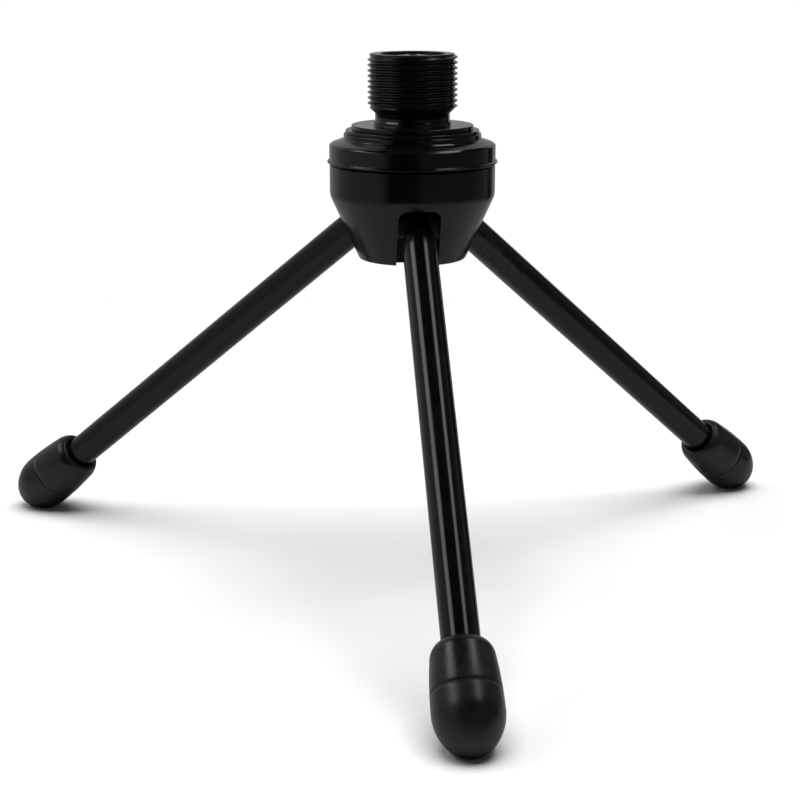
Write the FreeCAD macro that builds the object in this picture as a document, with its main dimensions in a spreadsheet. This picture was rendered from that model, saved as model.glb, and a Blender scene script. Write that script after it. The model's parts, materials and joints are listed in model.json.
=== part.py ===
import FreeCAD, Part
import math
import os

import Sketcher

# A folding tabletop stand for a microphone: a 5/8"-27 threaded stud on a round hub, three rods that
# hinge in slots in the hub, and a rubber foot on each rod. Millimetres, +Z up. The origin is on the
# floor under the hub's axis, and the front leg points along -Y. The hub's own levels are measured
# from the plane of the three hinge pins.

DIMENSIONS = {
    # stance
    "pivot_height": 65.05,       # hinge pins above the floor
    "pivot_radius": 8.5,        # hinge pins from the hub's axis
    "open_angle": 51,           # rod from the vertical when open, degrees
    # leg rods
    "rod_radius": 3,
    "rod_end": 97.6,            # far end of the rod from its hinge pin
    "rod_chamfer": 0.5,
    "heel_length": 4.6,         # rod past its hinge pin
    "heel_round": 3.2,
    "heel_chamfer": 0.4,
    "tongue_thick": 3.4,
    "tongue_length": 2.7,
    "tongue_runout": 1.4,
    "tongue_end": 3.05,
    "tongue_cutter": 1.45,
    # hinge
    "pin_radius": 1.2,
    "pin_length": 11.2,
    "pin_fit": 0.05,            # running clearance on the radius
    "washer_radius": 2.5,
    "washer_thick": 1.9,
    # rubber feet, measured from the mouth
    "foot_start": 83.7,         # mouth of the foot from the hinge pin
    "foot_length": 17.5,
    "foot_mouth_radius": 4.1,
    "foot_mouth_bore": 3.25,
    "foot_mouth_depth": 1.1,
    "foot_shoulder_x": 2.1,
    "foot_shoulder_radius": 4.95,
    "foot_shoulder_curve": 3,
    "foot_waist_x": 10.5,
    "foot_radius": 5.45,
    "foot_barrel_curve": 70,
    "foot_nose_curve": 8,
    "foot_join_x": 16.25,
    "foot_join_radius": 3.2,
    "foot_tip_curve": 4.5,
    "foot_line_x": 8,           # mould line
    "foot_line_radius": 5.405,
    "foot_line_width": 0.16,
    "foot_line_depth": 0.1,
    # hub body
    "band_radius": 14.7,
    "body_top": 9.5,
    "cone_top": 4.1,
    "cone_round": 3,            # where the cone meets the band
    "top_chamfer": 0.25,
    "base_round": 0.5,
    "body_bottom": -7.3,
    "bottom_radius": 9.5,
    "recess_radius": 12.5,
    "recess_floor": 5.1,
    "slot_width": 7.4,
    "slot_roof": 2.9,
    "slot_round": 1.6,
    "slot_window": 11.7,        # reach of the opening through the recess floor
    "stop_radius": 5.4,         # wall that the folded rod lies against
    "stop_gap": 0.05,           # the open rod stands off its stop by this much
    "core_radius": 2.6,
    "trough_length": 11.5,
    # pin retainer
    "retainer_radius": 12.3,
    "retainer_thick": 3,
    "retainer_bore": 3,
    "prong_gap": 0.02,
    "prong_inner": 3.8,
    "prong_outer": 5.6,
    "prong_half": 1.05,
    # hub cap
    "cap_radius": 14.75,
    "lip_radius": 15.1,
    "lip_height": 0.3,
    "cap_gap": 0.35,            # parting line between cap and body
    "cap_top": 15,
    "boss_radius": 12.2,
    "boss_height": 0.85,
    "boss_round": 0.2,
    "boss_groove": 0.25,
    "shoulder_level": 13.25,
    "shoulder_radius": 14.4,
    "shoulder_break": 0.35,
    "lip_break": 0.2,
    "spigot_inner": 9.5,
    "web_level": 10.5,
    "pilot_radius": 5,
    "pilot_fit": 0.05,
    "pilot_depth": 2.4,
    "pilot_room": 0.1,
    # stud and its washer
    "stud_washer_radius": 11.85,
    "stud_washer_thick": 0.6,
    "stud_washer_round": 0.15,
    "flange_radius": 10.8,
    "flange_thick": 0.85,
    "collar_radius": 6.85,
    "collar_top": 17,
    "collar_slope": 0.3,
    "neck_radius": 6.6,
    "neck_top": 18.5,
    "thread_start": 20.2,
    "stud_top": 28.8,
    "stud_arcs": 9,
    "stud_chamfer": 0.5,
    "thread_radius": 7.9375,    # 5/8 inch major diameter
    "thread_pitch": 0.94074,    # 27 turns an inch
    "thread_run_in": 0.5,
    "thread_overcut": 0.1,
    "counterbore_radius": 5.7,
    "counterbore_depth": 5,
    # M5 clamp screw, its washer and nut
    "screw_radius": 2.5,
    "screw_length": 30,
    "screw_point": 0.5,
    "screw_hole": 2.7,
    "head_radius": 4.75,
    "head_height": 3.6,
    "head_dome": 10,
    "head_below_rim": 0.2,
    "cross_arm": 1.35,
    "cross_reach": 2.9,
    "cross_depth": 2.2,
    "lock_inner": 2.65,
    "lock_outer": 4.5,
    "lock_thick": 1.2,
    "lock_turn": 352,
    "nut_flats": 8,
    "nut_height": 4,
    "nut_bore": 2.55,
    "nut_chamfer": 0.45,
    "nut_edge": 0.1,
    "nut_pocket_fit": 0.2,
    "nut_pocket_depth": 5,
    "nut_recess": 0.9,
    "legs": 3,
    "past": 1,                  # how far a cut runs on beyond the face it opens
}

LEGS = {"front": -90, "right": 30, "left": 150}

doc = FreeCAD.newDocument("tabletop_stand")
sheet = doc.addObject("Spreadsheet::Sheet", "dims")
for row, (alias, number) in enumerate(DIMENSIONS.items(), start=1):
    sheet.set(f"A{row}", alias)
    sheet.set(f"B{row}", str(number))
    sheet.setAlias(f"B{row}", alias)
doc.recompute()


def value(expression):
    """The number that an expression on the sheet gives."""
    found = sheet.evalExpression(expression)
    return float(getattr(found, "Value", found))


def bind(item, **sizes):
    """Tie an object's properties to expressions on the sheet."""
    for name, expression in sizes.items():
        item.setExpression(name, expression)


def origin_part(body, role):
    return next(o for o in body.Origin.OriginFeatures if o.Role == role)


def arc_through(start, end, radius):
    """The arc from start to end; a positive radius puts its centre on the left of that line."""
    half = (end - start) * 0.5
    left = FreeCAD.Vector(-half.y, half.x, 0).normalize()
    rise = math.sqrt(radius**2 - half.Length**2) * math.copysign(1, radius)
    centre = start + half + left * rise
    return Part.Arc(start, centre - left * radius, end)


def outline(body, name, role, corners, offset=None):
    """A closed sketch. Each corner is (x, y) with a straight edge after it, or (x, y, radius) with an
    arc after it, as expressions on the sheet."""
    sketch = body.newObject("Sketcher::SketchObject", name)
    sketch.AttachmentSupport = [(origin_part(body, role), "")]
    sketch.MapMode = "FlatFace"
    if offset:
        sketch.setExpression("AttachmentOffset.Base.z", offset)
    points = [FreeCAD.Vector(value(c[0]), value(c[1]), 0) for c in corners]
    starts = []
    for i, corner in enumerate(corners):
        start, end = points[i], points[(i + 1) % len(points)]
        if len(corner) == 2:
            sketch.addGeometry(Part.LineSegment(start, end))
            starts.append(1)
        else:
            radius = value(corner[2])
            arc = arc_through(start, end, radius)
            sketch.addGeometry(arc)
            starts.append(1 if radius > 0 else 2)
    for i, corner in enumerate(corners):
        after = (i + 1) % len(corners)
        sketch.addConstraint(Sketcher.Constraint("Coincident", i, 3 - starts[i], after, starts[after]))
        if len(corner) == 3:
            index = sketch.addConstraint(Sketcher.Constraint("Radius", i, abs(value(corner[2]))))
            sketch.setExpression(f"Constraints[{index}]", f"abs({corner[2]})")
        for kind, expression in (("DistanceX", corner[0]), ("DistanceY", corner[1])):
            fixed = Sketcher.Constraint(kind, -1, 1, i, starts[i], value(expression))
            index = sketch.addConstraint(fixed)
            sketch.setExpression(f"Constraints[{index}]", expression)
    return sketch


def circle(body, name, role, radius, offset=None):
    """A circle about the sketch's own origin."""
    sketch = body.newObject("Sketcher::SketchObject", name)
    sketch.AttachmentSupport = [(origin_part(body, role), "")]
    sketch.MapMode = "FlatFace"
    if offset:
        sketch.setExpression("AttachmentOffset.Base.z", offset)
    centre = FreeCAD.Vector(0, 0, 0)
    sketch.addGeometry(Part.Circle(centre, FreeCAD.Vector(0, 0, 1), value(radius)))
    sketch.addConstraint(Sketcher.Constraint("Coincident", 0, 3, -1, 1))
    index = sketch.addConstraint(Sketcher.Constraint("Radius", 0, value(radius)))
    sketch.setExpression(f"Constraints[{index}]", radius)
    return sketch


def new_body(label):
    body = doc.addObject("PartDesign::Body", label)
    body.Label = label
    return body


def feature(body, kind, name, profile, **settings):
    """Add one sketch-based feature to a body and set its properties."""
    made = body.newObject(f"PartDesign::{kind}", name)
    made.Profile = profile
    for key, setting in settings.items():
        if isinstance(setting, str) and key in ("Length", "Angle", "Pitch", "Height"):
            made.setExpression(key, setting)
        else:
            setattr(made, key, setting)
    doc.recompute()
    return made


def turned(body, name, corners, kind="Revolution", role="XZ_Plane", axis="V_Axis", angle="360"):
    """A revolved profile: about Z for the hub's pieces, about X for a leg's."""
    sketch = outline(body, f"{name}_profile", role, corners)
    return feature(body, kind, name, sketch, ReferenceAxis=(sketch, [axis]), Angle=angle)


def cut_through(body, name, sketch, width):
    """Cut a sketch's shape both ways from its plane, to a total width."""
    return feature(body, "Pocket", name, sketch, Midplane=True, Length=width)


def rim_edges(made, rims):
    """The names of a feature's circular edges at each (radius, level)."""
    names = []
    for index, edge in enumerate(made.Shape.Edges, start=1):
        if not isinstance(edge.Curve, Part.Circle):
            continue
        for radius, level in rims:
            near = abs(edge.Curve.Radius - value(radius)) < 0.001
            if near and abs(edge.Curve.Center.z - value(level)) < 0.001:
                names.append(f"Edge{index}")
    assert len(names) == len(rims), f"{made.Name}: found {len(names)} of {len(rims)} rims"
    return names


def dress(body, kind, name, base, rims, size):
    """Round or chamfer a feature's rims."""
    made = body.newObject(f"PartDesign::{kind}", name)
    made.Base = (base, rim_edges(base, rims))
    made.setExpression("Radius" if kind == "Fillet" else "Size", size)
    doc.recompute()
    return made


def around(body, name, originals, count="dims.legs"):
    """Repeat features about the hub's axis, once for each leg unless told otherwise."""
    pattern = body.newObject("PartDesign::PolarPattern", name)
    pattern.Originals = originals
    pattern.Axis = (origin_part(body, "Z_Axis"), [""])
    pattern.Angle = 360
    pattern.setExpression("Occurrences", count)
    body.Tip = pattern
    doc.recompute()
    return pattern


def hexagon(flats):
    """The corners of a hexagon with two of its flats square to Y."""
    corner, half = f"{flats} / sqrt(3)", f"{flats} / 2"
    signs = ((1, 0), (0.5, 1), (-0.5, 1), (-1, 0), (-0.5, -1), (0.5, -1))
    return [(f"{a} * {corner}", f"{b} * {half}") for a, b in signs]


def on_hub(item):
    """Lift a piece of the hub from the plane of the pins to its place."""
    item.setExpression("Placement.Base.z", "dims.pivot_height")
    return item


def leg_placement(azimuth):
    """From a leg's own frame (X along the rod, Z along the pin) to the open stance."""
    tilt, turn = math.radians(value("dims.open_angle")), math.radians(azimuth)
    outward = FreeCAD.Vector(math.cos(turn), math.sin(turn), 0)
    up = FreeCAD.Vector(0, 0, 1)
    along = outward * math.sin(tilt) - up * math.cos(tilt)
    above = outward * math.cos(tilt) + up * math.sin(tilt)
    rotation = FreeCAD.Rotation(along, above, along.cross(above), "ZXY")
    place = outward * value("dims.pivot_radius") + up * value("dims.pivot_height")
    return FreeCAD.Placement(place, rotation)


def threaded_stud():
    """The stud: thread, neck, thin flange and the pilot that centres it in the cap."""
    body = new_body("threaded_stud")
    flange_low = "dims.cap_top + dims.stud_washer_thick"
    flange_high = f"{flange_low} + dims.flange_thick"
    pilot_low = "dims.cap_top - dims.pilot_depth"
    seat = "dims.stud_top - dims.counterbore_depth"
    arc = turned(body, "stud", [
        ("dims.screw_hole", pilot_low),
        ("dims.pilot_radius", pilot_low),
        ("dims.pilot_radius", flange_low),
        ("dims.flange_radius", flange_low),
        ("dims.flange_radius", flange_high),
        ("dims.collar_radius", flange_high),
        ("dims.collar_radius", "dims.collar_top"),
        ("dims.neck_radius", "dims.collar_top + dims.collar_slope"),
        ("dims.neck_radius", "dims.neck_top"),
        ("dims.thread_radius", "dims.thread_start - dims.thread_run_in"),
        ("dims.thread_radius", "dims.stud_top - dims.stud_chamfer"),
        ("dims.thread_radius - dims.stud_chamfer", "dims.stud_top"),
        ("dims.counterbore_radius", "dims.stud_top"),
        ("dims.counterbore_radius", seat),
        ("dims.screw_hole", seat),
    ], angle="360 / dims.stud_arcs")
    # the stud is turned in equal arcs, so that every crest of the thread is a run of short faces
    whole = around(body, "stud_arcs", [arc], "dims.stud_arcs")
    whole.Refine = False
    # unified thread form: crest an eighth of the pitch wide, root a quarter, 60 degrees between flanks
    crest = "dims.thread_radius + dims.thread_overcut"
    root = "dims.thread_radius - dims.thread_pitch * cos(30) * 5 / 8"
    middle = "dims.thread_start - dims.thread_pitch / 2"
    open_half = "(dims.thread_pitch * 7 / 16 + dims.thread_overcut * tan(30))"
    root_half = "dims.thread_pitch / 8"
    groove = outline(body, "thread_form", "XZ_Plane", [
        (crest, f"{middle} - {open_half}"),
        (crest, f"{middle} + {open_half}"),
        (root, f"{middle} + {root_half}"),
        (root, f"{middle} - {root_half}"),
    ])
    rise = "dims.stud_top - dims.thread_start + 2 * dims.thread_pitch"
    feature(body, "SubtractiveHelix", "thread", groove, ReferenceAxis=(groove, ["V_Axis"]),
            Mode=0, Pitch="dims.thread_pitch", Height=rise, LeftHanded=False, Refine=False)
    return on_hub(body)


def stud_washer():
    body = new_body("stud_washer")
    bore = "dims.pilot_radius + 2 * dims.pilot_fit"
    top = "dims.cap_top + dims.stud_washer_thick"
    turned(body, "washer", [
        (bore, "dims.cap_top"),
        ("dims.stud_washer_radius - dims.stud_washer_round", "dims.cap_top"),
        ("dims.stud_washer_radius", "dims.cap_top + dims.stud_washer_round"),
        ("dims.stud_washer_radius", f"{top} - dims.stud_washer_round"),
        ("dims.stud_washer_radius - dims.stud_washer_round", top),
        (bore, top),
    ])
    return on_hub(body)


def hub_cap():
    """The cap: a flat boss, a sloping shoulder, a band that ends in a lip, and a spigot inside."""
    body = new_body("hub_cap")
    lip = "dims.body_top + dims.cap_gap"
    spigot = "dims.recess_floor + dims.retainer_thick"
    bore = "dims.pilot_radius + dims.pilot_fit"
    socket = "dims.cap_top - dims.pilot_depth - dims.pilot_room"
    step = "dims.cap_top - dims.boss_height"
    cap = turned(body, "cap", [
        (bore, "dims.cap_top"),
        ("dims.boss_radius", "dims.cap_top"),
        ("dims.boss_radius", step),
        ("dims.boss_radius + dims.boss_groove", f"{step} - dims.boss_groove"),
        ("dims.shoulder_radius", "dims.shoulder_level"),
        ("dims.cap_radius", "dims.shoulder_level - dims.shoulder_break"),
        ("dims.cap_radius", f"{lip} + dims.lip_height + dims.lip_break"),
        ("dims.lip_radius", f"{lip} + dims.lip_height"),
        ("dims.lip_radius", lip),
        ("dims.retainer_radius", lip),
        ("dims.retainer_radius", spigot),
        ("dims.spigot_inner", spigot),
        ("dims.spigot_inner", "dims.web_level"),
        ("dims.screw_hole", "dims.web_level"),
        ("dims.screw_hole", socket),
        (bore, socket),
    ])
    rim = [("dims.boss_radius", "dims.cap_top")]
    dress(body, "Fillet", "boss_edge", cap, rim, "dims.boss_round")
    return on_hub(body)


def hub_body():
    """The moulded body: a cup above a cone, with a slot, a hinge trough and two stops for each leg."""
    body = new_body("hub_body")
    block = turned(body, "block", [
        ("dims.screw_hole", "dims.body_bottom"),
        ("dims.bottom_radius", "dims.body_bottom"),
        ("dims.band_radius", "dims.cone_top"),
        ("dims.band_radius", "dims.body_top"),
        ("dims.recess_radius", "dims.body_top"),
        ("dims.recess_radius", "dims.recess_floor"),
        ("dims.screw_hole", "dims.recess_floor"),
    ])
    cone_rim = [("dims.band_radius", "dims.cone_top")]
    base_rim = [("dims.bottom_radius", "dims.body_bottom")]
    top_rim = [("dims.band_radius", "dims.body_top")]
    softened = dress(body, "Fillet", "cone_edge", block, cone_rim, "dims.cone_round")
    rounded = dress(body, "Fillet", "base_edge", softened, base_rim, "dims.base_round")
    dress(body, "Chamfer", "top_edge", rounded, top_rim, "dims.top_chamfer")

    # the folded rod lies against a flat wall; the open rod's heel lies on the slope above that wall
    below, above = "dims.body_bottom - dims.past", "dims.recess_floor + dims.past"
    slope = "tan(90 - dims.open_angle)"
    under = "(dims.rod_radius + dims.stop_gap) / sin(dims.open_angle)"

    def seat(radius):
        return f"(dims.pivot_radius - {radius}) * {slope} - {under}"

    inner = outline(body, "slot_section", "YZ_Plane", [
        ("-dims.stop_radius", below),
        ("-dims.stop_radius", seat("dims.stop_radius")),
        ("-dims.core_radius", seat("dims.core_radius")),
        ("-dims.core_radius", above),
        ("-dims.slot_window", above),
        ("-dims.slot_window", below),
    ])
    slot = cut_through(body, "slot", inner, "dims.slot_width")
    half, round_level = "dims.slot_width / 2", "dims.slot_roof - dims.slot_round"
    mouth = outline(body, "mouth_section", "XZ_Plane", [
        (f"-{half}", below),
        (half, below),
        (half, round_level, "dims.slot_round"),
        (f"{half} - dims.slot_round", "dims.slot_roof"),
        (f"-{half} + dims.slot_round", "dims.slot_roof", "dims.slot_round"),
        (f"-{half}", round_level),
    ], offset="dims.stop_radius")
    opening = feature(body, "Pocket", "slot_mouth", mouth, Length="dims.band_radius", Reversed=True)
    bed = "dims.pin_radius + dims.pin_fit"
    section = outline(body, "trough_section", "YZ_Plane", [
        (f"-dims.pivot_radius - ({bed})", "0", bed),
        ("-dims.pivot_radius", f"-({bed})", bed),
        (f"-dims.pivot_radius + {bed}", "0"),
        (f"-dims.pivot_radius + {bed}", above),
        (f"-dims.pivot_radius - ({bed})", above),
    ])
    trough = cut_through(body, "trough", section, "dims.trough_length")
    around(body, "three_slots", [slot, opening, trough])

    flats = "(dims.nut_flats + dims.nut_pocket_fit)"
    pocket = outline(body, "nut_section", "XY_Plane", hexagon(flats), offset="dims.body_bottom")
    feature(body, "Pocket", "nut_pocket", pocket, Length="dims.nut_pocket_depth", Reversed=True)
    return on_hub(body)


def pin_retainer():
    """A disc under the cap whose prongs hold the hinge pins down in their troughs."""
    body = new_body("pin_retainer")
    top = "dims.recess_floor + dims.retainer_thick"
    turned(body, "disc", [
        ("dims.retainer_bore", "dims.recess_floor"),
        ("dims.retainer_radius", "dims.recess_floor"),
        ("dims.retainer_radius", top),
        ("dims.retainer_bore", top),
    ])
    prongs = []
    for side in (1, -1):
        section = outline(body, f"prong_section_{side + 1}", "XY_Plane", [
            (f"{side} * dims.prong_inner", "-dims.pivot_radius - dims.prong_half"),
            (f"{side} * dims.prong_outer", "-dims.pivot_radius - dims.prong_half"),
            (f"{side} * dims.prong_outer", "-dims.pivot_radius + dims.prong_half"),
            (f"{side} * dims.prong_inner", "-dims.pivot_radius + dims.prong_half"),
        ], offset="dims.recess_floor")
        reach = "dims.recess_floor - dims.pin_radius - dims.prong_gap"
        prongs.append(feature(body, "Pad", f"prong_{side + 1}", section, Length=reach, Reversed=True))
    around(body, "six_prongs", prongs)
    return on_hub(body)


def clamp_screw():
    """An M5 pan-head screw with a cross recess."""
    body = new_body("clamp_screw")
    top = "dims.stud_top - dims.head_below_rim"
    seat = f"{top} - dims.head_height"
    drop = "(dims.head_dome - sqrt(dims.head_dome^2 - dims.head_radius^2))"
    turned(body, "screw", [
        ("0", f"{seat} - dims.screw_length"),
        ("dims.screw_radius - dims.screw_point", f"{seat} - dims.screw_length"),
        ("dims.screw_radius", f"{seat} - dims.screw_length + dims.screw_point"),
        ("dims.screw_radius", seat),
        ("dims.head_radius", seat),
        ("dims.head_radius", f"{top} - {drop}", "dims.head_dome"),
        ("0", top),
    ])
    arm, reach = "dims.cross_arm / 2", "dims.cross_reach"
    cross = outline(body, "cross_section", "XY_Plane", [
        (arm, arm), (arm, reach), (f"-{arm}", reach), (f"-{arm}", arm),
        (f"-{reach}", arm), (f"-{reach}", f"-{arm}"), (f"-{arm}", f"-{arm}"), (f"-{arm}", f"-{reach}"),
        (arm, f"-{reach}"), (arm, f"-{arm}"), (reach, f"-{arm}"), (reach, arm),
    ], offset=f"{top} + dims.past")
    feature(body, "Pocket", "cross_recess", cross, Length="dims.cross_depth + dims.past")
    return on_hub(body)


def lock_washer():
    """A split spring washer under the screw's head."""
    body = new_body("lock_washer")
    low = "dims.stud_top - dims.counterbore_depth"
    turned(body, "ring", [
        ("dims.lock_inner", low),
        ("dims.lock_outer", low),
        ("dims.lock_outer", f"{low} + dims.lock_thick"),
        ("dims.lock_inner", f"{low} + dims.lock_thick"),
    ], angle="dims.lock_turn")
    return on_hub(body)


def clamp_nut():
    """A hexagon nut, chamfered at both faces, in the pocket under the hub."""
    body = new_body("clamp_nut")
    low = "(dims.body_bottom + dims.nut_recess)"
    high = f"({low} + dims.nut_height)"
    block = outline(body, "hexagon", "XY_Plane", hexagon("dims.nut_flats"), offset=low)
    feature(body, "Pad", "block", block, Length="dims.nut_height")
    bore = circle(body, "bore_section", "XY_Plane", "dims.nut_bore", offset=low)
    feature(body, "Pocket", "bore", bore, Length="dims.nut_height", Reversed=True)
    corner = "dims.nut_flats / sqrt(3) + dims.nut_edge"
    flat = "dims.nut_flats / 2 - dims.nut_edge"
    for name, face, inward in (("lower_chamfer", low, 1), ("upper_chamfer", high, -1)):
        turned(body, name, [
            (flat, face),
            (corner, f"{face} + {inward} * dims.nut_chamfer"),
            (corner, face),
        ], kind="Groove")
    return on_hub(body)


def leg_rod(side, azimuth):
    """A steel rod, flattened to a tongue at the hinge, with a heel that meets the hub's stops."""
    body = new_body(f"{side}_leg")
    start, end = "-dims.heel_length", "dims.rod_end"
    turned(body, "rod", [
        (start, "0"),
        (end, "0"),
        (end, "dims.rod_radius - dims.rod_chamfer"),
        (f"{end} - dims.rod_chamfer", "dims.rod_radius"),
        (start, "dims.rod_radius"),
    ], role="XY_Plane", axis="H_Axis")
    outside = "dims.rod_radius + dims.past"
    for way, name in ((1, "flat_left"), (-1, "flat_right")):
        section = outline(body, f"{name}_section", "XZ_Plane", [
            (f"{start} - dims.past", f"{way} * dims.tongue_thick / 2"),
            ("dims.tongue_length", f"{way} * dims.tongue_thick / 2", f"{way} * dims.tongue_cutter"),
            ("dims.tongue_length + dims.tongue_runout", f"{way} * dims.tongue_end"),
            ("dims.tongue_length + dims.tongue_runout", f"{way} * ({outside})"),
            (f"{start} - dims.past", f"{way} * ({outside})"),
        ])
        cut_through(body, name, section, "4 * dims.rod_radius")
    crown = outline(body, "heel_section", "XY_Plane", [
        (f"{start} + dims.heel_round", "dims.rod_radius", "dims.heel_round"),
        (start, "dims.rod_radius - dims.heel_round"),
        (f"{start} - dims.past", "dims.rod_radius - dims.heel_round"),
        (f"{start} - dims.past", outside),
        (f"{start} + dims.heel_round", outside),
    ])
    cut_through(body, "heel_crown", crown, "4 * dims.rod_radius")
    toe = outline(body, "toe_section", "XY_Plane", [
        (start, "-dims.rod_radius + dims.heel_chamfer"),
        (f"{start} - dims.past", "-dims.rod_radius + dims.heel_chamfer"),
        (f"{start} - dims.past", f"-({outside})"),
        (f"{start} + dims.heel_chamfer", f"-({outside})"),
        (f"{start} + dims.heel_chamfer", "-dims.rod_radius"),
    ])
    cut_through(body, "heel_toe", toe, "4 * dims.rod_radius")
    hole = circle(body, "hole_section", "XY_Plane", "dims.pin_radius + dims.pin_fit")
    cut_through(body, "hinge_hole", hole, "4 * dims.rod_radius")
    body.Placement = leg_placement(azimuth)
    return body


def rubber_foot(side, azimuth, floor):
    """A hollow rubber cap pushed onto the rod, flat where it stands on the floor."""
    body = new_body(f"{side}_foot_cap")

    def at(distance):
        return f"dims.foot_start + {distance}"

    line_low = "dims.foot_line_x - dims.foot_line_width / 2"
    line_high = "dims.foot_line_x + dims.foot_line_width / 2"
    turned(body, "cap", [
        (at("dims.foot_mouth_depth"), "dims.rod_radius"),
        (at("dims.foot_mouth_depth"), "dims.foot_mouth_bore"),
        (at("0"), "dims.foot_mouth_bore"),
        (at("0"), "dims.foot_mouth_radius", "-dims.foot_shoulder_curve"),
        (at("dims.foot_shoulder_x"), "dims.foot_shoulder_radius", "-dims.foot_barrel_curve"),
        (at(line_low), "dims.foot_line_radius"),
        (at("dims.foot_line_x"), "dims.foot_line_radius - dims.foot_line_depth"),
        (at(line_high), "dims.foot_line_radius", "-dims.foot_barrel_curve"),
        (at("dims.foot_waist_x"), "dims.foot_radius", "-dims.foot_nose_curve"),
        (at("dims.foot_join_x"), "dims.foot_join_radius", "-dims.foot_tip_curve"),
        (at("dims.foot_length"), "0"),
        ("dims.rod_end", "0"),
        ("dims.rod_end", "dims.rod_radius"),
    ], role="XY_Plane", axis="H_Axis")
    body.Placement = leg_placement(azimuth)
    foot = doc.addObject("Part::Cut", f"{side}_foot")
    foot.Label = f"{side}_foot"
    foot.Base = body
    foot.Tool = floor
    return foot


def hinge_pin(side, azimuth):
    pin = doc.addObject("Part::Cylinder", f"{side}_hinge_pin")
    pin.Label = f"{side}_hinge_pin"
    bind(pin, Radius="dims.pin_radius", Height="dims.pin_length")
    centred = FreeCAD.Placement(FreeCAD.Vector(0, 0, -value("dims.pin_length") / 2), FreeCAD.Rotation())
    pin.Placement = leg_placement(azimuth) * centred
    return pin


def hinge_washer(side, azimuth, hand):
    """A plain washer that fills the slot between the tongue and one wall."""
    body = new_body(f"{side}_hinge_washer_{hand}")
    clearance = "(dims.slot_width - dims.tongue_thick) / 2 - dims.washer_thick"
    low = f"dims.tongue_thick / 2 + ({clearance}) / 2"
    turned(body, "ring", [
        ("dims.pin_radius + dims.pin_fit", low),
        ("dims.washer_radius", low),
        ("dims.washer_radius", f"{low} + dims.washer_thick"),
        ("dims.pin_radius + dims.pin_fit", f"{low} + dims.washer_thick"),
    ])
    turn = FreeCAD.Rotation(FreeCAD.Vector(1, 0, 0), 0 if hand == "left" else 180)
    body.Placement = leg_placement(azimuth) * FreeCAD.Placement(FreeCAD.Vector(), turn)
    return body


def floor_block():
    """The space below the floor, as a tool that trims the feet."""
    block = doc.addObject("Part::Box", "floor_block")
    bind(block, Length="4 * dims.rod_end", Width="4 * dims.rod_end", Height="dims.foot_length")
    half = 2 * value("dims.rod_end")
    block.Placement.Base = FreeCAD.Vector(-half, -half, -value("dims.foot_length"))
    return block


pieces = [threaded_stud(), stud_washer(), hub_cap(), hub_body(), pin_retainer()]
pieces += [clamp_screw(), lock_washer(), clamp_nut()]
floor = floor_block()
for side, azimuth in LEGS.items():
    pieces += [leg_rod(side, azimuth), rubber_foot(side, azimuth, floor), hinge_pin(side, azimuth)]
    pieces += [hinge_washer(side, azimuth, hand) for hand in ("left", "right")]
doc.recompute()

for item in doc.Objects:
    assert not {"Invalid", "Error"} & set(item.State), f"{item.Name}: {item.State}"
for piece in pieces:
    shape = piece.Shape
    assert not shape.isNull() and shape.isValid() and shape.Solids, piece.Label

os.makedirs("parts", exist_ok=True)
for piece in pieces:
    piece.Shape.exportStep(f"parts/{piece.Label}.step")
    print(f"{piece.Label:28s} {len(piece.Shape.Solids)} solid {piece.Shape.Volume:10.2f} mm3")
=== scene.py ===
import json
import math

import bmesh
import bpy
from mathutils import Matrix, Vector


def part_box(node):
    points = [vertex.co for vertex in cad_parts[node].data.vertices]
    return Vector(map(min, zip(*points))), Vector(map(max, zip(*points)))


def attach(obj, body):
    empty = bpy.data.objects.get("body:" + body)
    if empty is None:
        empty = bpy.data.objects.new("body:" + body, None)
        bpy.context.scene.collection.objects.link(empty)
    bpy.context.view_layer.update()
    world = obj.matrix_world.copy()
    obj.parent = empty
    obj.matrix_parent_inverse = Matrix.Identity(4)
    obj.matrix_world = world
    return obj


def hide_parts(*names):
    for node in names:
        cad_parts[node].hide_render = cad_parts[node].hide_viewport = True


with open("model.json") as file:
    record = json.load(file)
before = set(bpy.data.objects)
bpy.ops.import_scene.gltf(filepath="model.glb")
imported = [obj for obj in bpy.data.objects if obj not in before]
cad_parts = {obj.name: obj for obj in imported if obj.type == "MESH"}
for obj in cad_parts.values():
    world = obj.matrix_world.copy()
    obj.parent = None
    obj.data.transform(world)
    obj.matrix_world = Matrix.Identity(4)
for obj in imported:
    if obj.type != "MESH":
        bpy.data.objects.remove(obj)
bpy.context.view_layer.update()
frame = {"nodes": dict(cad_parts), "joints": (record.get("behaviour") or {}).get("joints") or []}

MM = 0.001
MICRON = 0.000001
ON_LEG = "on_leg"    # mesh attribute: a point's place along and around its leg, in metres
SIDES = ("front", "right", "left")

# The hub's levels are measured from the plane of the hinge pins, as they are in the design.
PIVOT = {joint["name"].split("_")[0]: Vector(joint["pos_m"]) for joint in frame["joints"]}
PIN_LEVEL = PIVOT["front"].z
OPEN_ANGLE = math.radians(max(frame["joints"][0]["range_deg"]))
ROD_RADIUS, HEEL_SPACE = 3.0, 3.05       # a rod's radius, and how far from its middle it needs room
HUB_COLUMNS, LEG_COLUMNS, FOOT_COLUMNS = 192, 64, 96     # steps round a turned piece

# Turns of an outline drawn in XY. On the hub: (across, up) carried outward, and (outward, up) carried
# across. On a leg: (along, across) carried over it, and (along, over) carried across it.
UP_ACROSS = Matrix(((0, 0, 1, 0), (1, 0, 0, 0), (0, 1, 0, 0), (0, 0, 0, 1)))
UP_OUTWARD = Matrix(((1, 0, 0, 0), (0, 0, -1, 0), (0, 1, 0, 0), (0, 0, 0, 1)))
ALONG_ACROSS = Matrix(((0, 1, 0, 0), (0, 0, 1, 0), (1, 0, 0, 0), (0, 0, 0, 1)))
ALONG_OVER = Matrix(((0, 0, 1, 0), (0, 1, 0, 0), (1, 0, 0, 0), (0, 0, 0, 1)))


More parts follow.
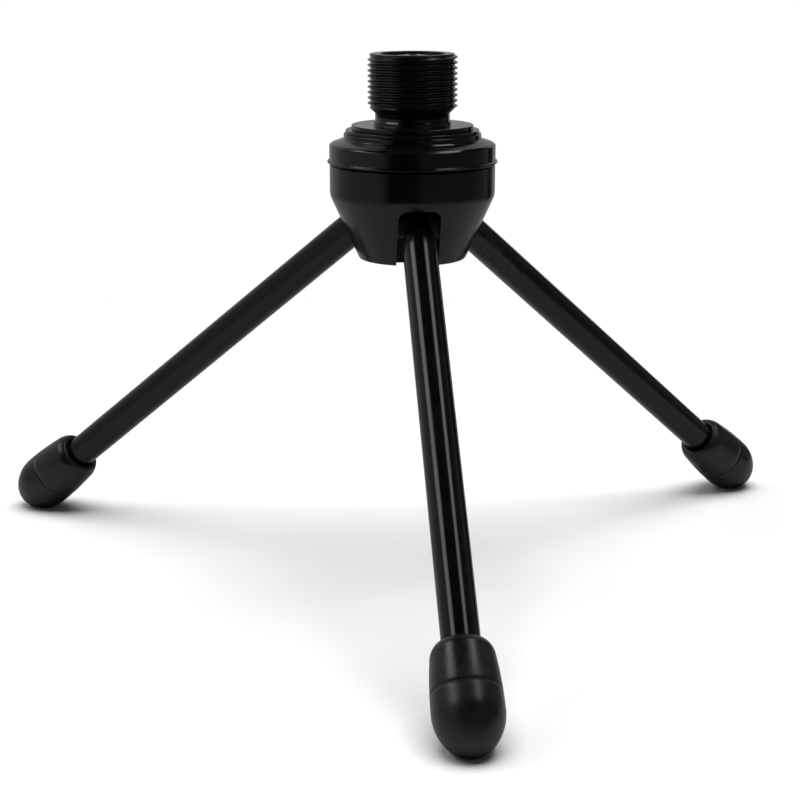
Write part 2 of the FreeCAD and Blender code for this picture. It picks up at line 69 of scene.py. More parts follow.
# ---------------------------------------------------------------- shapes

EASE_STEP = math.radians(15)    # turn of each chord in a rounded corner
THREAD_DEPTH = math.cos(math.radians(30)) * 5 / 8    # depth of a 60 degree thread as a part of its pitch
WELD = 0.0005                   # points closer than this become one, in millimetres
THREAD_FORM = (                 # (part of a turn, part of the depth) over one turn of a thread
    (-0.044, 0.0), (0.044, 0.0), (0.066, 0.025), (0.086, 0.085), (0.35, 0.93), (0.376, 0.98),
    (0.42, 1.0), (0.58, 1.0), (0.624, 0.98), (0.65, 0.93), (0.914, 0.085), (0.934, 0.025),
)


def eased(corners):
    """The points of a closed outline from (x, y, rounding) corners, with arcs where they are rounded."""
    points = []
    for i, (x, y, size) in enumerate(corners):
        here = Vector((x, y))
        if size == 0:
            points.append(here)
            continue
        back = (Vector(corners[i - 1][:2]) - here).normalized()
        ahead = (Vector(corners[(i + 1) % len(corners)][:2]) - here).normalized()
        half = back.angle(ahead) / 2
        centre = here + (back + ahead).normalized() * (size / math.sin(half))
        first = here + back * (size / math.tan(half)) - centre
        sweep = first.angle_signed(here + ahead * (size / math.tan(half)) - centre)
        steps = max(2, math.ceil(abs(sweep) / EASE_STEP))
        for k in range(steps + 1):
            spin = Matrix.Rotation(-sweep * k / steps, 2)
            points.append(centre + spin @ first)
    return points


def add_object(name, bm, material, smooth=True):
    """Turn a bmesh in millimetres into an object in metres."""
    bmesh.ops.scale(bm, vec=(MM, MM, MM), verts=bm.verts)
    bmesh.ops.recalc_face_normals(bm, faces=bm.faces)
    mesh = bpy.data.meshes.new(name)
    bm.to_mesh(mesh)
    bm.free()
    if smooth:
        mesh.shade_smooth()
    mesh.materials.append(material)
    piece = bpy.data.objects.new(name, mesh)
    bpy.context.scene.collection.objects.link(piece)
    return piece


def ring(bm, radius, level, columns):
    """A circle of points about Z, or one point repeated where the radius is 0."""
    if radius == 0:
        return [bm.verts.new((0, 0, level))] * columns
    turns = (2 * math.pi * j / columns for j in range(columns))
    return [bm.verts.new((radius * math.cos(t), radius * math.sin(t), level)) for t in turns]


def skin(bm, one, other):
    """Faces between two rings of equal length."""
    for j in range(len(one)):
        k = (j + 1) % len(one)
        corners = []
        for vert in (one[j], one[k], other[k], other[j]):
            if vert not in corners:
                corners.append(vert)
        if len(corners) > 2:
            bm.faces.new(corners)


def lathe(bm, outline, columns, closed=True):
    """Spin an outline of (radius, level) points about Z."""
    rings = [ring(bm, radius, level, columns) for radius, level in outline]
    for one, other in zip(rings, rings[1:]):
        skin(bm, one, other)
    if closed:
        skin(bm, rings[-1], rings[0])


def helix(bm, blank, low, high, crest, pitch, depth, columns):
    """A right-hand thread cut into a turned blank, whose radius at a level is blank(level)."""
    first = math.floor((low - pitch) / pitch)
    last = math.ceil((high + pitch) / pitch)
    rows = []
    for turn in range(first, last):
        for part, share in THREAD_FORM:
            row = []
            for j in range(columns + 1):
                level = (turn + part + j / columns) * pitch
                radius = min(crest - depth * share, blank(level))
                if not low < level < high:
                    level = min(max(level, low), high)
                    radius = blank(level)
                angle = 2 * math.pi * j / columns
                row.append(bm.verts.new((radius * math.cos(angle), radius * math.sin(angle), level)))
            rows.append(row)
    for one, other in zip(rows, rows[1:]):
        for j in range(columns):
            bm.faces.new((one[j], one[j + 1], other[j + 1], other[j]))


def weld(bm):
    """Join the points that meet and drop the faces that this leaves without any area."""
    bmesh.ops.remove_doubles(bm, verts=bm.verts, dist=WELD)
    bmesh.ops.dissolve_degenerate(bm, edges=bm.edges, dist=WELD)


def prism(bm, outline, low, high, place=Matrix.Identity(4)):
    """An outline in the XY plane carried from one height to another, then moved."""
    ends = [[bm.verts.new(place @ Vector((x, y, level))) for x, y in outline] for level in (low, high)]
    skin(bm, *ends)
    bm.faces.new(ends[0])
    bm.faces.new(ends[1])


def even_normals(piece):
    """Flat faces shade flat and roundings shade round."""
    made = piece.modifiers.new("normals", "WEIGHTED_NORMAL")
    made.keep_sharp = True
    made.weight = 60


def cut(piece, name, bm):
    """Cut a bmesh in millimetres out of a piece and leave the result in its mesh."""
    tool = add_object(name, bm, piece.data.materials[0], smooth=False)
    tool.matrix_world = piece.matrix_world
    made = piece.modifiers.new("cut", "BOOLEAN")
    made.operation = "DIFFERENCE"
    made.solver = "EXACT"
    made.use_self = True
    made.object = tool
    bake(piece)
    bpy.data.objects.remove(tool)


def bake(piece):
    """Replace a piece's mesh by what its modifiers make of it."""
    bpy.context.view_layer.update()
    seen = piece.evaluated_get(bpy.context.evaluated_depsgraph_get())
    mesh = bpy.data.meshes.new_from_object(seen)
    piece.modifiers.clear()
    piece.data = mesh


def soften(piece, width, angle=30):
    """Round a piece's hard edges, sharper than an angle in degrees, by a width in millimetres."""
    made = piece.modifiers.new("edges", "BEVEL")
    made.width = width * MM
    made.segments = 3
    made.limit_method = "ANGLE"
    made.angle_limit = math.radians(angle)
    made.use_clamp_overlap = True
    made.harden_normals = False


# ---------------------------------------------------------------- materials


class Paint:
    """A node-based material built around one Principled shader."""

    def __init__(self, name, colour, roughness, metallic=0.0, specular=0.5, on_leg=False):
        self.material = bpy.data.materials.new(name)
        self.material.use_nodes = True
        self.tree = self.material.node_tree
        self.shader = next(n for n in self.tree.nodes if n.type == "BSDF_PRINCIPLED")
        self.put("Base Color", (*colour, 1))
        self.put("Roughness", roughness)
        self.put("Metallic", metallic)
        self.put("Specular IOR Level", specular)
        self.normal = None
        self.on_leg = on_leg

    def put(self, socket, setting):
        self.shader.inputs[socket].default_value = setting

    def node(self, kind, settings=(), **inputs):
        made = self.tree.nodes.new(kind)
        for key, setting in dict(settings).items():
            setattr(made, key, setting)
        for key, source in inputs.items():
            socket = made.inputs[key.replace("_", " ")]
            if isinstance(source, bpy.types.NodeSocket):
                self.tree.links.new(source, socket)
            else:
                socket.default_value = source
        return made

    def place(self, stretch=(1, 1, 1)):
        """The piece's own coordinates in metres, scaled so that noise stretches along an axis."""
        if self.on_leg:
            where = self.node("ShaderNodeAttribute", {"attribute_name": ON_LEG}).outputs["Vector"]
        else:
            where = self.node("ShaderNodeTexCoord").outputs["Object"]
        return self.node("ShaderNodeMapping", Vector=where, Scale=stretch).outputs["Vector"]

    def rings(self):
        """Coordinates that change with radius and height only, for marks left by turning."""
        split = self.node("ShaderNodeSeparateXYZ", Vector=self.place())
        flat = self.node("ShaderNodeCombineXYZ", X=split.outputs["X"], Y=split.outputs["Y"])
        radius = self.node("ShaderNodeVectorMath", {"operation": "LENGTH"})
        self.tree.links.new(flat.outputs[0], radius.inputs[0])
        made = self.node("ShaderNodeCombineXYZ", X=radius.outputs["Value"], Y=split.outputs["Z"])
        return made.outputs[0]

    def noise(self, vector, scale, detail, rough=0.5):
        settings = {"Vector": vector, "Scale": scale, "Detail": detail, "Roughness": rough}
        return self.node("ShaderNodeTexNoise", **settings).outputs["Fac"]

    def remap(self, source, low, high, start=0.35, end=0.65):
        """From low to high as the source goes from start to end."""
        made = self.node("ShaderNodeMapRange", Value=source)
        for key, setting in (("From Min", start), ("From Max", end), ("To Min", low), ("To Max", high)):
            made.inputs[key].default_value = setting
        return made.outputs["Result"]

    def combine(self, operation, *sources):
        """A Math node's result; each source is a socket or a number."""
        made = self.node("ShaderNodeMath", {"operation": operation})
        for source, socket in zip(sources, made.inputs):
            if isinstance(source, bpy.types.NodeSocket):
                self.tree.links.new(source, socket)
            else:
                socket.default_value = source
        return made.outputs[0]

    def along(self, direction):
        """How far a point lies along a direction, in metres."""
        made = self.node("ShaderNodeVectorMath", {"operation": "DOT_PRODUCT"})
        self.tree.links.new(self.place(), made.inputs[0])
        made.inputs[1].default_value = direction
        return made.outputs["Value"]

    def vary_roughness(self, source, low, high):
        self.tree.links.new(self.remap(source, low, high), self.shader.inputs["Roughness"])

    def vary_colour(self, source, dark, light):
        self.blend("Base Color", self.remap(source, 0, 1), (*dark, 1), (*light, 1))

    def blend(self, socket, share, one, other):
        """Mix two colours on a shader socket; None stands for what is there already."""
        made = self.node("ShaderNodeMix", {"data_type": "RGBA"})
        self.tree.links.new(share, made.inputs["Factor"])
        for key, setting in (("A", one), ("B", other)):
            if setting is None:
                self.tree.links.new(self.shader.inputs[socket].links[0].from_socket, made.inputs[key])
            else:
                made.inputs[key].default_value = setting
        self.tree.links.new(made.outputs["Result"], self.shader.inputs[socket])

    def wear_and_highlight_edges(self, colour, start, end):
        """Rubbed patches of another colour along the edges that stand out: partly wear, partly a painted
        highlight.
        """
        sharp = self.node("ShaderNodeNewGeometry").outputs["Pointiness"]
        patchy = self.remap(self.noise(self.place(), scale=900, detail=4), 0, 1, start=0.42, end=0.6)
        rubbed_and_highlit = self.combine("MULTIPLY", self.remap(sharp, 0, 1, start, end), patchy)
        self.blend("Base Color", rubbed_and_highlit, None, (*colour, 1))

    def seam(self, turn, high, half_width):
        """1 on a thin upright line at one place round the piece, below a level; 0 elsewhere."""
        fade_in, side_fade = 0.8 * MM, 1 * MM
        beside = self.combine("ABSOLUTE", self.along((-math.sin(turn), math.cos(turn), 0)))
        line = self.remap(beside, 1, 0, half_width / 2, half_width)
        outside = self.remap(self.along((math.cos(turn), math.sin(turn), 0)), 0, 1, 0, side_fade)
        below = self.remap(self.along((0, 0, 1)), 1, 0, high - fade_in, high)
        return self.combine("MULTIPLY", self.combine("MULTIPLY", below, line), outside)

    def bump(self, source, depth, strength):
        """Raise the surface by a texture, in metres at strength 1."""
        made = self.node("ShaderNodeBump", Height=source, Distance=depth, Strength=strength)
        if self.normal is not None:
            self.tree.links.new(self.normal, made.inputs["Normal"])
        self.normal = made.outputs["Normal"]
        self.tree.links.new(self.normal, self.shader.inputs["Normal"])


def black_enamel():
    """Glossy black finish on turned metal: faint turning rings under a slightly uneven gloss."""
    paint = Paint("black_enamel", (0.0015, 0.0016, 0.0015), 0.15)
    broad = paint.noise(paint.place(), scale=260, detail=4)
    paint.vary_roughness(broad, 0.11, 0.2)
    paint.vary_colour(broad, dark=(0.001, 0.0012, 0.0011), light=(0.0024, 0.0027, 0.0025))
    # edges painted lighter: partly wear, partly a painted highlight
    paint.wear_and_highlight_edges((0.014, 0.0145, 0.014), start=0.56, end=0.68)
    paint.bump(paint.noise(paint.rings(), scale=5200, detail=2), depth=2 * MICRON, strength=0.5)
    paint.bump(paint.noise(paint.place(), scale=1500, detail=2), depth=4 * MICRON, strength=0.4)
    return paint.material


def black_rod():
    """The same finish on drawn rod: fine marks that run along the rod."""
    paint = Paint("black_rod", (0.0015, 0.0016, 0.0015), 0.15, specular=0.4, on_leg=True)
    streaks = paint.noise(paint.place((1, 1, 0.02)), scale=2400, detail=3)
    broad = paint.noise(paint.place(), scale=180, detail=4)
    waves = paint.noise(paint.place((1, 1, 0.3)), scale=800, detail=3)
    paint.vary_roughness(streaks, 0.1, 0.19)
    paint.vary_colour(broad, dark=(0.001, 0.0012, 0.0011), light=(0.0026, 0.003, 0.0028))
    # edges painted lighter: partly wear, partly a painted highlight
    paint.wear_and_highlight_edges((0.014, 0.0145, 0.014), start=0.56, end=0.68)
    paint.bump(streaks, depth=2 * MICRON, strength=0.5)
    paint.bump(waves, depth=10 * MICRON, strength=0.5)
    return paint.material


def moulded_black():
    """Glossy black moulding with a fine grain, broad, faint flow marks and two thin dark lines."""
    specular = 0.42
    paint = Paint("moulded_black", (0.003, 0.0034, 0.0031), 0.19, specular=specular)
    broad = paint.noise(paint.place((1, 1, 0.4)), scale=150, detail=4)
    paint.vary_roughness(broad, 0.15, 0.23)
    paint.vary_colour(broad, dark=(0.0019, 0.0023, 0.0021), light=(0.004, 0.0045, 0.0042))
    # edges painted lighter: partly wear, partly a painted highlight
    paint.wear_and_highlight_edges((0.02, 0.021, 0.02), start=0.56, end=0.68)
    # two thin upright lines on the lower hub, painted darker and less glossy
    left_dark_line = paint.seam(math.radians(-149.4), high=0.0, half_width=0.2 * MM)
    right_dark_line = paint.seam(math.radians(-41), high=-1.8 * MM, half_width=0.15 * MM)
    dark_lines = paint.combine("MAXIMUM", left_dark_line, right_dark_line)
    paint.blend("Base Color", dark_lines, None, (0.0003, 0.0003, 0.0003, 1))
    dulled = paint.remap(dark_lines, specular, 0.04, 0, 1)
    paint.tree.links.new(dulled, paint.shader.inputs["Specular IOR Level"])
    paint.bump(paint.noise(paint.place(), scale=4200, detail=3), depth=12 * MICRON, strength=0.5)
    return paint.material


def nylon():
    """Dull black nylon with a fine, uneven skin."""
    paint = Paint("nylon", (0.003, 0.003, 0.003), 0.5, specular=0.3)
    fine = paint.noise(paint.place(), scale=900, detail=3)
    paint.vary_roughness(paint.noise(paint.place(), scale=600, detail=3), 0.42, 0.6)
    paint.vary_colour(fine, dark=(0.002, 0.002, 0.002), light=(0.004, 0.004, 0.004))
    paint.bump(paint.noise(paint.place(), scale=3000, detail=2), depth=10 * MICRON, strength=0.4)
    return paint.material


def soft_rubber():
    """Satin black rubber: a fine tooth, and duller, paler handled patches."""
    paint = Paint("soft_rubber", (0.007, 0.0075, 0.0072), 0.4, specular=0.5, on_leg=True)
    patches = paint.noise(paint.place(), scale=170, detail=5, rough=0.6)
    tooth = paint.noise(paint.place(), scale=5200, detail=3, rough=0.7)
    paint.vary_roughness(patches, 0.24, 0.38)
    paint.vary_colour(patches, dark=(0.0022, 0.0027, 0.0024), light=(0.0085, 0.0093, 0.0088))
    # edges painted lighter: partly wear, partly a painted highlight
    paint.wear_and_highlight_edges((0.022, 0.023, 0.022), start=0.54, end=0.64)
    paint.bump(tooth, depth=18 * MICRON, strength=0.6)
    return paint.material


def zinc_steel():
    """Bright zinc plating: fine brushed rings and small dull blotches."""
    paint = Paint("zinc_steel", (0.5, 0.5, 0.49), 0.3, metallic=1.0)
    blotches = paint.noise(paint.place(), scale=700, detail=5)
    paint.vary_roughness(blotches, 0.22, 0.42)
    paint.vary_colour(blotches, dark=(0.42, 0.42, 0.415), light=(0.6, 0.6, 0.585))
    paint.bump(paint.noise(paint.rings(), scale=6000, detail=2), depth=6 * MICRON, strength=0.5)
    return paint.material


def paint_nodes(steel, dull):
    """Give the small CAD nodes that stay as they are a finished material."""
    finish = {"pin_retainer": dull, "lock_washer": steel, "clamp_nut": steel}
    for side in SIDES:
        finish[f"{side}_hinge_pin"] = steel
        finish[f"{side}_hinge_washer_left"] = dull
        finish[f"{side}_hinge_washer_right"] = dull
    for name, material in finish.items():
        for slot in frame["nodes"][name].material_slots:
            slot.material = material


# ---------------------------------------------------------------- the pieces
# Sizes here are in millimetres, and levels are above the hinge pins.


def span(node):
    """A hub node's lowest and highest level above the hinge pins and its radius, in millimetres."""
    low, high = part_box(node)
    return (low.z - PIN_LEVEL) / MM, (high.z - PIN_LEVEL) / MM, high.x / MM


def finish_piece(piece, body, node):
    """Fix a piece to a body, in the stead of a CAD node."""
    even_normals(piece)
    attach(piece, body)
    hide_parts(node)


def set_on_hub(piece, node):
    """Put a piece made about the hub's axis in its place, in the stead of a CAD node."""
    piece.location.z = PIN_LEVEL
    finish_piece(piece, "hub", node)


def stud(material):
    """The stud: a real helical thread above a neck, a thin flange, and the socket for the screw."""
    bottom, top, flange = span("threaded_stud")
    crest, pitch = 7.9375, 25.4 / 27
    neck, collar, mouth, bore, pilot = 6.6, 6.85, 5.7, 2.7, 5.0
    neck_top, run_in, chamfer = top - 10.3, 1.2, 0.5
    seat, flange_top, flange_low = top - 5, top - 12.35, top - 13.2
    collar_top, collar_slope = flange_top + 0.55, 0.35

    def blank(level):
        rising = neck + (level - neck_top) * (crest - neck) / run_in
        return min(max(neck, rising), crest, crest - chamfer + top - level)

    bm = bmesh.new()
    helix(bm, blank, neck_top, top, crest, pitch, pitch * THREAD_DEPTH, HUB_COLUMNS)
    outline = eased([
        (crest - chamfer, top, 0),
        (mouth, top, 0.15),
        (mouth, seat, 0.1),
        (bore, seat, 0.1),
        (bore, bottom, 0),
        (pilot, bottom, 0.2),
        (pilot, flange_low, 0),
        (flange, flange_low, 0.12),
        (flange, flange_top, 0.14),
        (collar, flange_top, 0.12),
        (collar, collar_top, 0.12),
        (neck, collar_top + collar_slope, 0.2),
        (neck, neck_top, 0),
    ])
    lathe(bm, outline, HUB_COLUMNS, closed=False)
    weld(bm)
    set_on_hub(add_object("stud", bm, material), "threaded_stud")


def thin_washer(material):
    """The washer between the stud's flange and the cap."""
    bottom, top, radius = span("stud_washer")
    bore, edge = 5.1, 0.16
    bm = bmesh.new()
    outline = [(bore, bottom, 0), (radius, bottom, edge), (radius, top, edge), (bore, top, 0)]
    lathe(bm, eased(outline), HUB_COLUMNS)
    set_on_hub(add_object("washer_under_stud", bm, material), "stud_washer")


def cap(material):
    """The cap: a flat boss, a groove, a sloping shoulder, an upright band and a lip at its foot."""
    bottom, top, lip = span("hub_cap")
    band, shoulder, boss, spigot, recess, bore, hole = 14.75, 14.35, 12.2, 12.3, 9.5, 5.05, 2.7
    foot, step, slope_low, band_top = bottom + 1.75, top - 0.85, top - 1.75, top - 2.1
    groove_wide, groove_deep, lip_top, band_foot = 0.25, 0.22, foot + 0.3, foot + 0.5
    recess_top, seat = foot + 0.65, top - 2.5
    bm = bmesh.new()
    lathe(bm, eased([
        (bore, top, 0),
        (boss, top, 0.22),
        (boss, step, 0.12),
        (boss + groove_wide, step - groove_deep, 0.12),
        (shoulder, slope_low, 0.3),
        (band, band_top, 0.25),
        (band, band_foot, 0.1),
        (lip, lip_top, 0.12),
        (lip, foot, 0.1),
        (spigot, foot, 0),
        (spigot, bottom, 0),
        (recess, bottom, 0),
        (recess, recess_top, 0),
        (hole, recess_top, 0),
        (hole, seat, 0),
        (bore, seat, 0),
    ]), HUB_COLUMNS)
    set_on_hub(add_object("cap", bm, material), "hub_cap")


def hub(material):
    """The moulded body: a band over a cone, with a rounded slot for each leg and the nut's pocket."""
    bottom, top, band = span("hub_body")
    foot, cone_top, recess, seat, hole = 9.5, 4.1, 12.5, 5.1, 2.7
    bm = bmesh.new()
    lathe(bm, eased([
        (hole, bottom, 0),
        (foot, bottom, 0.5),
        (band, cone_top, 3.0),
        (band, top, 0.22),
        (recess, top, 0.1),
        (recess, seat, 0),
        (hole, seat, 0),
    ]), HUB_COLUMNS)
    piece = add_object("hub_shell", bm, material)

    # each leg's room: a mouth in the outer wall, and behind it a space down to the slope of an open leg
    width, roof, corner, wall, window, core, past = 7.4, 2.9, 1.6, 5.4, 11.7, 2.6, 1
    slope = math.tan(math.pi / 2 - OPEN_ANGLE)
    under = HEEL_SPACE / math.sin(OPEN_ANGLE)
    pivot = PIVOT["front"].xy.length / MM
    below, above = bottom - past, seat + past
    mouth = eased([(-width / 2, below, 0), (width / 2, below, 0), (width / 2, roof, corner),
                   (-width / 2, roof, corner)])
    inside = [(wall, below), (wall, (pivot - wall) * slope - under),
              (core, (pivot - core) * slope - under), (core, above), (window, above), (window, below)]
    bm = bmesh.new()
    for side in SIDES:
        turn = Matrix.Rotation(math.atan2(PIVOT[side].y, PIVOT[side].x), 4, "Z")
        prism(bm, mouth, wall, band + past, turn @ UP_ACROSS)
        prism(bm, inside, -width / 2, width / 2, turn @ UP_OUTWARD)

    nut_flats, nut_depth = 8.2, 5
    reach = nut_flats / math.sqrt(3)
    hexagon = [(math.cos(k * math.pi / 3) * reach, math.sin(k * math.pi / 3) * reach) for k in range(6)]
    prism(bm, hexagon, below, bottom + nut_depth)
    cut(piece, "slots", bm)
    soften(piece, 0.18)
    set_on_hub(piece, "hub_body")


def leg_frame(side):
    """Z along the rod from its hinge pin, X along the pin, Y away from the floor."""
    outward = PIVOT[side].xy.normalized().to_3d()
    up = Vector((0, 0, 1))
    along = outward * math.sin(OPEN_ANGLE) - up * math.cos(OPEN_ANGLE)
    over = outward * math.cos(OPEN_ANGLE) + up * math.sin(OPEN_ANGLE)
    turn = Matrix((over.cross(along), over, along)).transposed().to_4x4()
    return Matrix.Translation(PIVOT[side]) @ turn


def set_on_leg(piece, side):
    """Keep a piece's coordinates along its leg for its finish, and put its mesh in its real place."""
    bake(piece)
    mesh = piece.data
    kept = mesh.attributes.new(ON_LEG, "FLOAT_VECTOR", "POINT")
    for vert, entry in zip(mesh.vertices, kept.data):
        entry.vector = vert.co
    mesh.transform(leg_frame(side))


def bow(start, end, radius, count):
    """Points on an arc between two places, without its end. A positive radius bulges to the right."""
    start, end = Vector(start), Vector(end)
    half = (end - start) / 2
    left = Vector((-half.y, half.x)).normalized()
    centre = start + half + left * math.copysign(math.sqrt(radius**2 - half.length**2), radius)
    arm = start - centre
    sweep = 2 * math.asin(half.length / abs(radius)) * math.copysign(1, radius)
    return [tuple(centre + Matrix.Rotation(sweep * k / count, 2) @ arm) for k in range(count)]


def rod(side, material):
    """A rod with a flat tongue that is milled out of it in two curved passes."""
    radius, far, heel, tongue, chamfer = ROD_RADIUS, 97.6, 4.6, 1.7, 0.5
    shoulder, runout, cutter, crown, clear = 2.7, 4.1, 1.45, 3.2, 4
    bm = bmesh.new()
    middle = [(radius, 10.0 * k) for k in range(2, 9)]
    tip = [(radius, far - chamfer), (radius - chamfer, far), (0, far)]
    bar = [(0, -heel), (radius, -heel), *middle, *tip]
    lathe(bm, bar, LEG_COLUMNS, closed=False)
    piece = add_object(f"{side}_rod", bm, material)

    bm = bmesh.new()
    cheek = [(-heel - 1, tongue), *bow((shoulder, tongue), (runout, HEEL_SPACE), cutter, 8),
             (runout, HEEL_SPACE), (runout, clear), (-heel - 1, clear)]
    for way in (1, -1):
        prism(bm, [(along, way * across) for along, across in cheek], -clear, clear, ALONG_ACROSS)
    rounded = bow((-heel + crown, radius), (-heel, radius - crown), crown, 10)
    corner = [*rounded, (-heel, radius - crown), (-heel - 1, radius - crown), (-heel - 1, clear),
              (-heel + crown, clear)]
    prism(bm, corner, -clear, clear, ALONG_OVER)
    cut(piece, "milling", bm)
    soften(piece, 0.12, 40)
    set_on_leg(piece, side)
    finish_piece(piece, f"{side}_leg_set", f"{side}_leg")


def foot(side, material):
    """A hollow rubber cap with a shouldered mouth and a mould line, pressed flat on the floor."""
    start, socket = 83.7, 3
    mouth_bore, mouth_radius, mouth_depth, ease = 3.25, 4.1, 1.1, 0.12
    # (place along the foot, radius)
    mouth, shoulder, line, waist = (0.08, mouth_radius), (2.1, 4.95), (8.0, 5.405), (10.5, 5.45)
    join, tip = (16.25, 3.2), (17.5, 0)
    crease, crease_depth = 0.045, 0.04
    curves = [
        *bow(mouth, shoulder, -3, 8),
        *bow(shoulder, (line[0] - crease, line[1]), -70, 8),
        (line[0] - crease, line[1]),
        (line[0] - crease / 3, line[1] - crease_depth),
        (line[0] + crease / 3, line[1] - crease_depth),
        *bow((line[0] + crease, line[1]), waist, -70, 4),
        *bow(waist, join, -8, 22),
        *bow(join, tip, -4.5, 14),
        tip,
    ]
    outline = [
        (ROD_RADIUS, mouth_depth + socket),
        (ROD_RADIUS, mouth_depth),
        (mouth_bore, mouth_depth),
        (mouth_bore, ease),
        (mouth_bore + ease, 0),
        (mouth_radius - 0.15, 0),
        *((radius, place) for place, radius in curves),
    ]
    bm = bmesh.new()
    lathe(bm, [(radius, start + place) for radius, place in outline], FOOT_COLUMNS, closed=False)
    here = leg_frame(side)
    down = here.inverted().to_3x3() @ Vector((0, 0, 1))
    for vert in bm.verts:
        height = (here @ (vert.co * MM)).z / MM
        if height < 0:
            vert.co -= down * height
    weld(bm)
    piece = add_object(f"{side}_rubber", bm, material)
    set_on_leg(piece, side)
    finish_piece(piece, f"{side}_leg_set", f"{side}_foot")


def screw(material):
    """The clamp screw: a domed head with a tapered cross, and a threaded shank."""
    bottom, top, head = span("clamp_screw")
    shank, pitch, point, thread_length = 2.5, 0.8, 0.5, 20
    under, dome, head_ease, rim_ease, rim_lift = top - 3.6, 12.0, 0.2, 0.15, 0.07
    top += 0.17      # nearly level with the stud
    rim = top - (dome - math.sqrt(dome**2 - head**2))
    thread_top = bottom + thread_length

    def blank(level):
        return min(shank, shank - point + level - bottom)

    bm = bmesh.new()
    helix(bm, blank, bottom, thread_top, shank, pitch, pitch * THREAD_DEPTH, LEG_COLUMNS)
    lathe(bm, [(0, bottom), (shank - point, bottom)], LEG_COLUMNS, closed=False)
    arc = bow((0, top), (head - rim_ease, rim + rim_lift), -dome, 10)
    outline = [(shank, thread_top), (shank, under), (head - head_ease, under), (head, under + head_ease),
               (head, rim - rim_ease), *reversed(arc)]
    lathe(bm, outline, LEG_COLUMNS, closed=False)
    weld(bm)
    piece = add_object("screw", bm, material)

    bm = bmesh.new()
    arm, reach, deep, past = 0.55, 2.3, 2.2, 0.5
    corners = [(-reach, -arm), (reach, -arm), (reach, arm), (-reach, arm)]
    wider, narrower = (1.12, 1.3), (0.45, 0.8)      # taper of the cross, along and across an arm
    for turn in (0, math.pi / 2):
        place = Matrix.Rotation(turn, 4, "Z")
        high, low = (
            [bm.verts.new(place @ Vector((x * taper[0], y * taper[1], level))) for x, y in corners]
            for taper, level in ((wider, top + past), (narrower, top - deep))
        )
        skin(bm, low, high)
        bm.faces.new(low)
        bm.faces.new(high)
    cut(piece, "cross", bm)
    set_on_hub(piece, "clamp_screw")


# ---------------------------------------------------------------- stage, light and camera


def floor():
    """A round, plain, pale surface that fades into the pale backdrop, seen from above only; painted
    shade makes it darker in reflections.
    """
    reach, fade_start, sides = 0.26, 0.12, 96
    bm = bmesh.new()
    bmesh.ops.create_circle(bm, cap_ends=True, segments=sides, radius=reach)
    mesh = bpy.data.meshes.new("floor")
    bm.to_mesh(mesh)
    bm.free()
    piece = bpy.data.objects.new("floor", mesh)
    bpy.context.scene.collection.objects.link(piece)
    paper = Paint("paper", (0.88, 0.88, 0.88), 0.9, specular=0.1)
    grain = paper.noise(paper.place(), scale=30, detail=2)
    paper.vary_colour(grain, dark=(0.87, 0.87, 0.87), light=(0.89, 0.89, 0.89))
    # painted shade: in reflections the floor shows darker than it is
    mirrored = paper.node("ShaderNodeLightPath").outputs["Is Glossy Ray"]
    paper.blend("Base Color", mirrored, None, (0.35, 0.35, 0.35, 1))
    away = paper.node("ShaderNodeVectorMath", {"operation": "LENGTH"})
    paper.tree.links.new(paper.place(), away.inputs[0])
    cover = paper.remap(away.outputs["Value"], 1, 0, fade_start, reach)
    above = paper.combine("SUBTRACT", 1, paper.node("ShaderNodeNewGeometry").outputs["Backfacing"])
    paper.tree.links.new(paper.combine("MULTIPLY", cover, above), paper.shader.inputs["Alpha"])
    mesh.materials.append(paper.material)


def softbox(name, place, width, length, power, reflected=True):
    """A rectangular area light that faces the hub."""
    data = bpy.data.lights.new(name, "AREA")
    data.shape = "RECTANGLE"
    data.size, data.size_y = width, length
    data.energy = power
    lamp = bpy.data.objects.new(name, data)
    lamp.location = place
    lamp.rotation_mode = "QUATERNION"
    lamp.rotation_quaternion = (Vector((0, 0, PIN_LEVEL)) - lamp.location).to_track_quat("-Z", "Y")
    lamp.visible_camera = False
    lamp.visible_glossy = reflected
    bpy.context.scene.collection.objects.link(lamp)


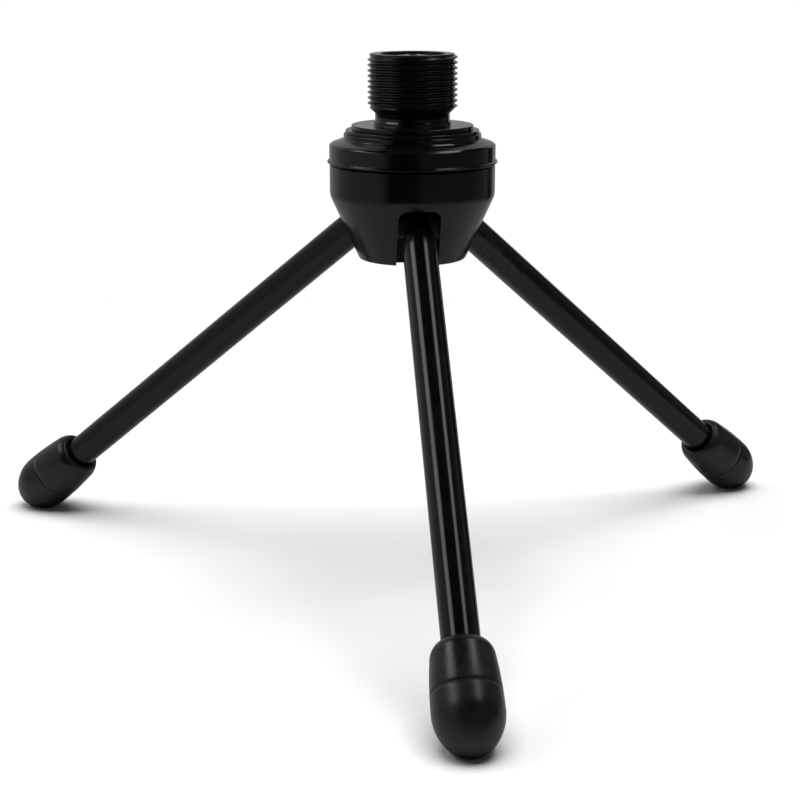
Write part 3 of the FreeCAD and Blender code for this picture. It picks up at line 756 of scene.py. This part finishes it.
def surroundings():
    """A white backdrop, and in reflections a room: white behind, pale at the sides, dark elsewhere."""
    world = bpy.data.worlds.new("studio")
    world.use_nodes = True
    tree = world.node_tree
    tree.nodes.clear()
    link = tree.links.new
    place = tree.nodes.new("ShaderNodeTexCoord")
    split = tree.nodes.new("ShaderNodeSeparateXYZ")
    link(place.outputs["Generated"], split.inputs[0])

    def ease(source, start, end, low, high):
        """From low to high, smoothly, as the source goes from start to end."""
        made = tree.nodes.new("ShaderNodeMapRange")
        made.interpolation_type = "SMOOTHSTEP"
        settings = (("From Min", start), ("From Max", end), ("To Min", low), ("To Max", high))
        for key, setting in settings:
            made.inputs[key].default_value = setting
        link(source, made.inputs["Value"])
        return made.outputs["Result"]

    def wall(axis, dark_at, light_at, light, dark=0.0):
        return ease(split.outputs[axis], dark_at, light_at, dark, light)

    def join(operation, one, other):
        made = tree.nodes.new("ShaderNodeMath")
        made.operation = operation
        link(one, made.inputs[0])
        if isinstance(other, bpy.types.NodeSocket):
            link(other, made.inputs[1])
        else:
            made.inputs[1].default_value = other
        return made.outputs[0]

    def screen(toward, half_dark, half_light):
        """Nothing in a narrow upright strip of the room, everything beside it and on the other side."""
        across = tree.nodes.new("ShaderNodeVectorMath")
        across.operation = "DOT_PRODUCT"
        across.inputs[1].default_value = (toward[1], -toward[0], 0)
        link(place.outputs["Generated"], across.inputs[0])
        side = tree.nodes.new("ShaderNodeMath")
        side.operation = "ABSOLUTE"
        link(across.outputs["Value"], side.inputs[0])
        beside = ease(side.outputs[0], half_dark, half_light, 0, 1)
        return join("MAXIMUM", beside, wall("X", 0.02, -0.02, 1.0))

    back = wall("Y", dark_at=0.1, light_at=0.8, light=0.5)
    left = wall("X", dark_at=-0.55, light_at=-0.8, light=0.36)
    right = wall("X", dark_at=0.02, light_at=0.1, light=0.12)
    below_ceiling = wall("Z", dark_at=0.95, light_at=0.4, light=1.0, dark=0.02)
    light = join("MAXIMUM", join("MAXIMUM", back, left), right)
    light = join("MULTIPLY", light, below_ceiling)
    light = join("MULTIPLY", light, screen((0.755, 0.656), half_dark=0.13, half_light=0.19))
    light = join("MAXIMUM", light, 0.008)

    seen = tree.nodes.new("ShaderNodeLightPath")
    room = tree.nodes.new("ShaderNodeBackground")
    plain = tree.nodes.new("ShaderNodeBackground")
    plain.inputs["Color"].default_value = (1, 1, 1, 1)
    plain.inputs["Strength"].default_value = 1.0
    blend = tree.nodes.new("ShaderNodeMixShader")
    end = tree.nodes.new("ShaderNodeOutputWorld")
    link(light, room.inputs["Strength"])
    link(seen.outputs["Is Camera Ray"], blend.inputs["Fac"])
    link(room.outputs[0], blend.inputs[1])
    link(plain.outputs[0], blend.inputs[2])
    link(blend.outputs[0], end.inputs["Surface"])
    bpy.context.scene.world = world


def camera():
    """The photographer's place: low, in front, and slightly to the left of the front leg."""
    turn, down = math.radians(5.36), math.radians(14.37)
    distance, aside, height = 0.3259, -0.0022, 0.1147
    forward = Vector((math.sin(turn), math.cos(turn), 0))
    across = Vector((math.cos(turn), -math.sin(turn), 0))
    data = bpy.data.cameras.new("camera")
    data.sensor_width = 36
    data.lens = 82.5
    data.clip_start = 0.01
    eye = bpy.data.objects.new("camera", data)
    eye.location = across * aside - forward * distance + Vector((0, 0, height))
    aim = forward * math.cos(down) - Vector((0, 0, math.sin(down)))
    eye.rotation_mode = "QUATERNION"
    eye.rotation_quaternion = aim.to_track_quat("-Z", "Y")
    bpy.context.scene.collection.objects.link(eye)
    bpy.context.scene.camera = eye


floor()
surroundings()
softbox("left_box", place=(-0.75, 0.1, 0.9), width=0.9, length=0.35, power=2.6)
softbox("right_box", place=(0.5, 0.05, 1.1), width=0.9, length=0.3, power=2.3)
softbox("overhead", place=(0, 0, 1.5), width=1.2, length=1.2, power=24, reflected=False)
camera()
bpy.context.scene.view_settings.view_transform = "Standard"

enamel, steel, drawn, rubber = black_enamel(), zinc_steel(), black_rod(), soft_rubber()
paint_nodes(steel, nylon())
stud(enamel)
thin_washer(enamel)
cap(enamel)
hub(moulded_black())
screw(steel)
for side in SIDES:
    rod(side, drawn)
    foot(side, rubber)
